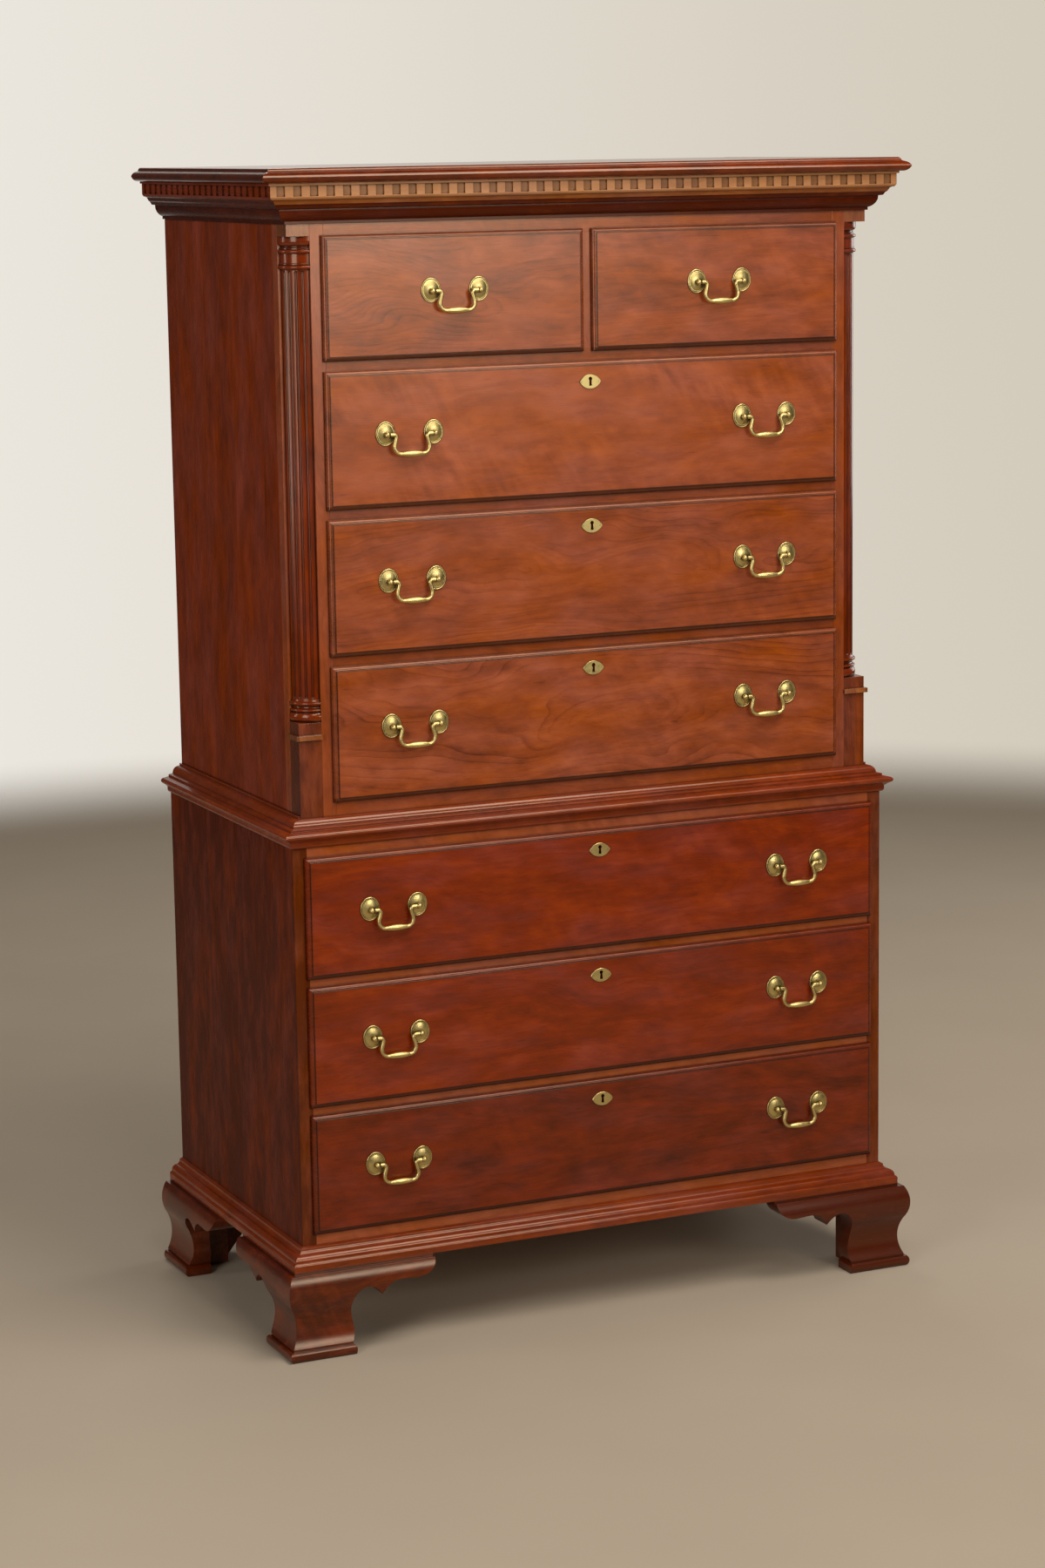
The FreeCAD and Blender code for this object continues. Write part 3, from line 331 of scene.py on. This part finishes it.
def poplar(name, axes, seed, board=None):
    """Bare secondary wood: dull, pale and plain, and darker into its corners.

    Board gives where the first of a row of boards starts and how wide each one is."""
    material, tree, shader, point = new_finish(name)
    along, across, depth = axes(tree, *split(tree, point))
    if board:
        start, width = board
        count = sums(tree, "FLOOR", sums(tree, "DIVIDE", sums(tree, "SUBTRACT", across, start), width))
        along = sums(tree, "MULTIPLY_ADD", count, back_board_shift, along)
    tone, fibre = saw(tree, along, across, depth, heart=0.05, lean=0.06, rings=120.0, lines=0.25,
                      curl=0.05, blotch=0.2, seed=seed)
    # Darker the deeper a corner is.
    corner_dark = ease(tree, openness(tree, corner_dark_reach, 4), 0.9, 0.4, 0.0, corner_dark_strength)
    colour = tint(tree, corner_dark, stained(tree, tone, poplar_shades), corner_dark_colour)
    tree.links.new(colour, shader.inputs["Base Color"])
    tree.links.new(ease(tree, fibre, 0.2, 0.8, 0.72, 0.58), shader.inputs["Roughness"])
    tree.links.new(put(tree, "Bump", bare_relief, bare_height, None, fibre), shader.inputs["Normal"])
    return material


for seed, (node, count) in enumerate((("lower_back", 3), ("upper_back", 4))):
    low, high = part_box(node)
    dress(node, poplar(node + "_wood", along_axes("XZY"), 21.0 + seed,
                       board=(low.z, (high.z - low.z) / count)))
for seed, node in enumerate(("lower_boards", "lower_runners", "upper_bottom_and_runners")):
    dress(node, poplar(node + "_wood", along_axes("XYZ"), 24.0 + seed))

# ---- Bracket feet ------------------------------------------------------------------------------
# Each foot is two ogee brackets of thick cherry mitred at the corner, their grain level. The ogee
# is planed first and the scrolled lower edge sawn after; glue blocks stand in the corner inside.


def in_front(low, high):
    """Mask of the front length of a mitred run round a case, by the case's half width and face."""
    half = (high.x - low.x) / 2

    def mask(tree, x, y, z):
        beyond = sums(tree, "SUBTRACT", sums(tree, "ABSOLUTE", x), half)
        return sums(tree, "GREATER_THAN", sums(tree, "SUBTRACT", low.y, y), beyond)
    return mask


def run_axes(low, high):
    """Level grain that turns the corner at the mitre: along X in front, along Y at the ends."""
    def axes(tree, x, y, z):
        front = in_front(low, high)(tree, x, y, z)
        return blend(tree, front, y, x), z, blend(tree, front, x, y)
    return axes


lower_low, lower_high = side_low, Vector((-side_low.x, side_high.y, side_high.z))
lower_run = run_axes(lower_low, lower_high)
# The right feet are stained darker than the left ones; this is painted shade for the light falling off to the
# right.
foot_lifts_with_shade = {"left": -0.32, "right": -0.44}
for seed, node in enumerate(("foot_front_left", "foot_front_right", "foot_rear_left", "foot_rear_right")):
    dress(node, cherry(node + "_wood", lower_run, "moulding", seed=31.0 + seed, heart=0.03, lean=0.2,
                       lines=0.15, curl=0.4, lift=foot_lifts_with_shade[node.split("_")[2]], shine=0.25, gloss=1.55))

# ---- Base and waist mouldings ------------------------------------------------------------------
# Run in long lengths with the grain level, mitred at the front corners and glued to the case. The
# waist moulding stands up round the foot of the upper case and keeps it in its place.
for seed, node in enumerate(("base_moulding", "waist_moulding")):
    dress(node, cherry(node + "_wood", lower_run, "moulding", seed=41.0 + seed, heart=0.02, lean=0.05,
                       lines=0.1, curl=0.3, blotch=0.35, lift=-0.02, glaze_and_shade_range=(0.90, 0.50), shine=0.20,
                       gloss=1.55, worn=0.0006))

# ---- Upper case frame --------------------------------------------------------------------------
# Two upright posts carry the rails of the upper case, and a short upright parts the small drawers.
# Post and upright have their grain upright, the rails theirs level.
upper_low, upper_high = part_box("upper_frame")
post_width = 0.057
short_upright_half = 0.012
small_row_top, small_row_bottom = 0.080, 0.251


def frame_axes(tree, x, y, z):
    """Upright grain in the posts and the short upright, level grain in the rails."""
    wide = sums(tree, "ABSOLUTE", x)
    post = sums(tree, "GREATER_THAN", wide, upper_high.x - post_width)
    small_row = sums(tree, "MULTIPLY", sums(tree, "GREATER_THAN", z, upper_high.z - small_row_bottom),
                     sums(tree, "LESS_THAN", z, upper_high.z - small_row_top))
    short_upright = sums(tree, "MULTIPLY", sums(tree, "LESS_THAN", wide, short_upright_half), small_row)
    upright = sums(tree, "MAXIMUM", post, short_upright)
    return blend(tree, upright, x, z), blend(tree, upright, z, x), y


dress("upper_frame", cherry("upper_frame_wood", frame_axes, "upper", seed=51.0, heart=0.02, lean=0.05,
                            lines=0.12, curl=0.3, lift=-0.03))

# ---- Quarter columns ---------------------------------------------------------------------------
# A turned column is fluted, sawn in four, and one quarter set in the notch of each front corner,
# between a plinth with a small band below and a plain corner block above.
dress("quarter_columns", cherry("column_wood", along_axes("ZXY"), "moulding", seed=55.0, heart=0.02,
                                lean=0.05, lines=0.1, curl=0.1, lift=-0.12, glaze_and_shade_range=(0.99, 0.72), shine=0.18))
band_height, band_half = 0.1325, 0.0037
top_block_height = 0.3
outer_skin = 0.0002


def outer_faces_shade(tree, x, y, z):
    """Painted shade on the faces of the corner pieces that turn away from the front."""
    outside = sums(tree, "GREATER_THAN", sums(tree, "ABSOLUTE", x), upper_high.x - outer_skin)
    return sums(tree, "MULTIPLY", outside, 0.4)


def band_and_sheen_top(tree, x, y, z):
    """The small band on the plinth is lighter, and the block at the top is painted lighter, partly a painted
    sheen.
    """
    above = sums(tree, "SUBTRACT", z, upper_low.z)
    off_band = sums(tree, "ABSOLUTE", sums(tree, "SUBTRACT", above, band_height))
    band = sums(tree, "MULTIPLY", sums(tree, "LESS_THAN", off_band, band_half), 0.7)
    return sums(tree, "MULTIPLY_ADD", sums(tree, "GREATER_THAN", above, top_block_height), 0.40, band)


dress("column_blocks", cherry("column_block_wood", along_axes("ZXY"), "upper", seed=56.0, heart=0.02,
                              lean=0.05, lines=0.1, lift=-0.26, second=(band_and_sheen_top, "honey"),
                              shade_mask=outer_faces_shade))

# ---- Cornice -----------------------------------------------------------------------------------
# Cherry bed moulding, dentil strip and one wide top board with a moulded edge, glued one upon the
# other. The strip's front length is paler than the rest, partly a painted sheen; its gaps, the ends
# of the case and the bed moulding's downward faces carry painted shade. The top board's grain runs
# from end to end.
upper_run = run_axes(upper_low, upper_high)
upper_front_run = in_front(upper_low, upper_high)
bed_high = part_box("bed_moulding")[1]
dentil_low, dentil_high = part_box("dentil_moulding")
top_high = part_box("cornice_top")[1]
bed_cap = 0.0068
gap_floor_depth = 0.0045
top_skin = 0.0005


def upper_bed(tree, x, y, z):
    """The front length of the bed moulding is left lighter along its top."""
    cap = sums(tree, "GREATER_THAN", z, bed_high.z - bed_cap)
    return sums(tree, "MULTIPLY", cap, upper_front_run(tree, x, y, z))


def gap_floors_shade(tree, x, y, z):
    """Painted shade on the floors between the dentils, behind their faces."""
    floors = sums(tree, "MULTIPLY", sums(tree, "GREATER_THAN", y, dentil_low.y + gap_floor_depth), 0.40)
    return sums(tree, "MULTIPLY", floors, upper_front_run(tree, x, y, z))


def end_runs_shade(tree, x, y, z):
    """The lengths at the ends of the case are painted darker than the front one: painted shade."""
    return sums(tree, "MULTIPLY", sums(tree, "SUBTRACT", 1.0, upper_front_run(tree, x, y, z)), 0.45)


def moulded_ends_shade(tree, x, y, z):
    """The moulded ends of the top board, which are end grain, get the same painted shade as the end lengths.
    """
    overhang = sums(tree, "GREATER_THAN", sums(tree, "ABSOLUTE", x), dentil_high.x)
    moulded = sums(tree, "MULTIPLY", overhang, sums(tree, "LESS_THAN", z, top_high.z - top_skin))
    return sums(tree, "MULTIPLY", moulded, end_runs_shade(tree, x, y, z))


# The bed moulding's dark stain is painted shade for its downward faces.
dress("bed_moulding", cherry("bed_moulding_wood", upper_run, "moulding", seed=61.0, heart=0.02, lean=0.05,
                             lines=0.1, curl=0.2, lift=-0.38, second=(upper_bed, "honey"), shade_mask=end_runs_shade,
                             gloss=1.3))
# The dentil strip's front length takes the pale tan stain, partly a painted sheen.
dress("dentil_moulding", cherry("dentil_wood", upper_run, "side", seed=62.0, heart=0.02, lean=0.05,
                                lines=0.1, curl=0.1, lift=-0.10, second=(upper_front_run, "tan"),
                                shade_mask=gap_floors_shade, gloss=1.2))
# The top board's darker stain is partly painted shade.
dress("cornice_top", cherry("cornice_top_wood", along_axes("XYZ"), "moulding", seed=63.0, heart=0.04,
                            lean=0.05, lines=0.15, curl=0.2, lift=-0.20, shade_mask=moulded_ends_shade, shine=0.16,
                            gloss=1.55, worn=0.0006))

# ---- Drawer fronts -----------------------------------------------------------------------------
# Each front is one wide board, grain level, with a rounded lip that covers the edge of its
# opening. The field stands a hair proud of the lip; glaze and painted shade darken the step between,
# and painted shade darkens the lip along the bottom and at its back.
# The bottom drawer's darker lift is painted shade, darker towards the floor.
drawer_looks = {
    "lower_bottom_drawer": dict(heart=0.05, lines=0.10, curl=0.20, blotch=0.65, lift=-0.15),
    "lower_middle_drawer": dict(heart=0.05, lines=0.10, curl=0.20, blotch=0.65),
    "lower_top_drawer": dict(heart=0.05, lines=0.10, curl=0.25, blotch=0.65, lift=0.02),
    "upper_bottom_drawer": dict(heart=0.014, lean=-0.13, rings=105.0, lines=0.34, curl=0.20, blotch=0.80,
                                lift=0.04),
    "upper_middle_drawer": dict(heart=0.03, lean=0.05, rings=130.0, lines=0.26, curl=0.20, blotch=0.65,
                                lift=0.02),
    "upper_top_drawer": dict(heart=0.08, lines=0.03, curl=0.60, lift=0.04),
    "small_left_drawer": dict(heart=0.03, lean=0.08, lines=0.30, curl=0.15, blotch=0.80),
    "small_right_drawer": dict(heart=0.05, lines=0.15, curl=0.25, blotch=0.80, lift=-0.04),
}
field_inset = 0.0065
step_middle, step_edge = (0.0003, 0.80), (0.0014, 0.30)
step_inner_low, step_inner_high = -0.0016, -0.0010
under_lip_start, under_lip_full = 0.0066, 0.0055
lip_back_start, lip_back_full = 0.0084, 0.0090


def lip_shade(low, high):
    """Painted shade with glaze in the step round the raised field, and painted shade on the lip along the
    bottom and on its back edge against the rail.
    """
    middle = (low + high) / 2

    def mask(tree, x, y, z):
        reach = [sums(tree, "SUBTRACT", sums(tree, "ABSOLUTE", sums(tree, "SUBTRACT", place, centre)), half)
                 for place, centre, half in ((x, middle.x, high.x - middle.x - field_inset),
                                             (z, middle.z, high.z - middle.z - field_inset))]
        outward = sums(tree, "MAXIMUM", *reach)
        step = ease(tree, sums(tree, "ABSOLUTE", outward), step_edge[0], step_middle[0],
                    step_edge[1], step_middle[1])
        step = sums(tree, "MULTIPLY", step, ease(tree, outward, step_inner_low, step_inner_high))
        under = ease(tree, z, low.z + under_lip_start, low.z + under_lip_full, 0.0, 0.75)
        back = ease(tree, y, low.y + lip_back_start, low.y + lip_back_full, 0.0, 0.7)
        return sums(tree, "MAXIMUM", step, sums(tree, "MAXIMUM", under, back))
    return mask


# The lower case's fronts take the darker, deeper red stain, partly painted shade for the lesser light low
# down.
for seed, (name, looks) in enumerate(drawer_looks.items()):
    low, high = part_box(name + "_front")
    dress(name + "_front", cherry(name + "_front_wood", along_axes("XZY", (low + high) / 2),
                                  "lower" if name.startswith("lower") else "upper", seed=71.0 + seed,
                                  shade_mask=lip_shade(low, high), **looks))

# ---- Drawer boxes ------------------------------------------------------------------------------
# Poplar sides and back, dovetailed to the front and to each other, with a bottom panel slid into
# grooves from behind. They are left bare.
for seed, name in enumerate(drawer_looks):
    dress(name + "_box", poplar(name + "_box_wood", along_axes("YXZ"), 81.0 + seed))

# ---- Brasses -----------------------------------------------------------------------------------
# Oval back plates, ball posts, swan-neck bails and pointed escutcheons, cast and polished, then
# darkened and rubbed bright again on the high places. The posts pass through the drawer fronts to
# nuts behind, and pins hold the escutcheons.
rubbed_brass, darkened_brass = (0.60, 0.46, 0.175, 1), (0.060, 0.036, 0.012, 1)
rubbing_scale, rubbing_strength = 180.0, 0.25
crevice_reach, darkest = 0.007, 0.92
smoothest_brass, roughest_brass = 0.34, 0.44
brass_finish, tree, shader, point = new_finish("antique_brass")
rubbing = mottle(tree, point, rubbing_scale)
high_places = swing(tree, rubbing, rubbing_strength, openness(tree, crevice_reach, 8))
darkening = ease(tree, high_places, 0.95, 0.45, 0.0, darkest)
tree.links.new(tint(tree, darkening, rubbed_brass, darkened_brass), shader.inputs["Base Color"])
shader.inputs["Metallic"].default_value = 1.0
tree.links.new(ease(tree, rubbing, 0.3, 0.7, smoothest_brass, roughest_brass), shader.inputs["Roughness"])
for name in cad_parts:
    if name.endswith("_brasses") or "_bail" in name:
        dress(name, brass_finish)

# ---- Studio ------------------------------------------------------------------------------------
# A pale floor that ends in a soft edge and a pale wall beyond it. A window stands at the right
# front, a wide lamp and a small one hang overhead, and windows and a lamp light the other sides.
floor_half, floor_edge, floor_fade = 6.0, 3.3, 1.2
floor_middle = (0.4, 0.6, 0.0)
floor_shades = (0.370, 0.295, 0.215, 1), (0.410, 0.330, 0.240, 1)
floor_corners = [(-floor_half, -floor_half, 0), (floor_half, -floor_half, 0),
                 (floor_half, floor_half, 0), (-floor_half, floor_half, 0)]
mesh = bpy.data.meshes.new("floor")
mesh.from_pydata(floor_corners, [], [(0, 1, 2, 3)])
floor = bpy.data.objects.new("floor", mesh)
bpy.context.collection.objects.link(floor)
floor_finish, tree, shader, point = new_finish("floor")
tree.links.new(tint(tree, mottle(tree, point, 2.5), *floor_shades), shader.inputs["Base Color"])
shader.inputs["Roughness"].default_value = 0.8
shader.inputs["IOR"].default_value = 1.3
from_middle = put(tree, "VectorMath", put(tree, "VectorMath", point, floor_middle, operation="SUBTRACT"),
                  operation="LENGTH").node.outputs["Value"]
tree.links.new(ease(tree, from_middle, floor_edge + floor_fade, floor_edge), shader.inputs["Alpha"])
mesh.materials.append(floor_finish)

wall_middle = (0.415, 0.909, -0.05)
wall_left, wall_right, unlit_room = (0.86, 0.82, 0.76, 1), (0.63, 0.575, 0.475, 1), (0.045, 0.041, 0.036, 1)
ambient_colour, ambient_strength = (1.0, 0.97, 0.93, 1), 0.10
world = bpy.data.worlds.new("studio")
bpy.context.scene.world = world
world.use_nodes = True
tree = world.node_tree
ambient = tree.nodes["Background"]
ambient.inputs["Color"].default_value = ambient_colour
ambient.inputs["Strength"].default_value = ambient_strength
toward = put(tree, "TexCoord").node.outputs["Generated"]
facing = put(tree, "VectorMath", toward, wall_middle, operation="DOT_PRODUCT").node.outputs["Value"]
pale = tint(tree, ease(tree, split(tree, toward)[0], 0.18, 0.62), wall_left, wall_right)
mirrored = tint(tree, ease(tree, facing, 0.86, 0.965), unlit_room, pale)
rays = tree.nodes.new("ShaderNodeLightPath")
seen = put(tree, "Background", tint(tree, rays.outputs["Is Camera Ray"], mirrored, pale), 1.0)
shown = sums(tree, "MAXIMUM", rays.outputs["Is Camera Ray"],
             sums(tree, "MAXIMUM", rays.outputs["Is Glossy Ray"], rays.outputs["Is Transmission Ray"]))
mixed = put(tree, "MixShader", shown, ambient.outputs[0], seen)
tree.links.new(mixed, tree.nodes["World Output"].inputs["Surface"])


def softbox(name, place, aim, width, height, power, colour=(1, 1, 1)):
    """A rectangular studio lamp turned to its aim."""
    light = bpy.data.lights.new(name, "AREA")
    light.shape = "RECTANGLE"
    light.size = width
    light.size_y = height
    light.energy = power
    light.color = colour
    lamp = bpy.data.objects.new(name, light)
    lamp.location = place
    lamp.rotation_euler = (Vector(aim) - Vector(place)).to_track_quat("-Z", "Y").to_euler()
    bpy.context.collection.objects.link(lamp)


softbox("window", (0.98, -4.0, 1.94), (0.2, -0.2, 1.3), 1.5, 0.95, 45.0, (1.0, 0.98, 0.95))
softbox("ceiling", (0.8, -1.8, 4.0), (0.0, -0.2, 0.9), 2.3, 1.8, 96.0, (1.0, 0.98, 0.95))
softbox("key", (-0.8, -2.6, 3.0), (-0.4, -0.2, 1.1), 0.9, 0.7, 18.0, (1.0, 0.97, 0.93))
softbox("left_window", (-3.45, -2.3, 1.95), (-0.4, -0.2, 1.4), 1.6, 2.3, 62.0)
softbox("side_window", (-3.7, 0.95, 1.9), (-0.4, -0.2, 1.3), 0.4, 2.2, 16.0)
softbox("right_window", (3.7, 0.9, 2.0), (0.4, 0.0, 1.1), 2.0, 2.4, 42.0)
softbox("back_fill", (0.3, 3.2, 4.0), (0, 0.4, 0.8), 1.6, 1.0, 45.0)

lens = bpy.data.cameras.new("camera")
lens.sensor_width = 36.0
lens.lens = 83.19
camera = bpy.data.objects.new("camera", lens)
camera.location = (-2.335, -5.1314, 1.7995)
camera.rotation_euler = (1.39301838, 0.0146406193, -0.428334188)
bpy.context.collection.objects.link(camera)
bpy.context.scene.camera = camera
bpy.context.scene.view_settings.view_transform = "Standard"
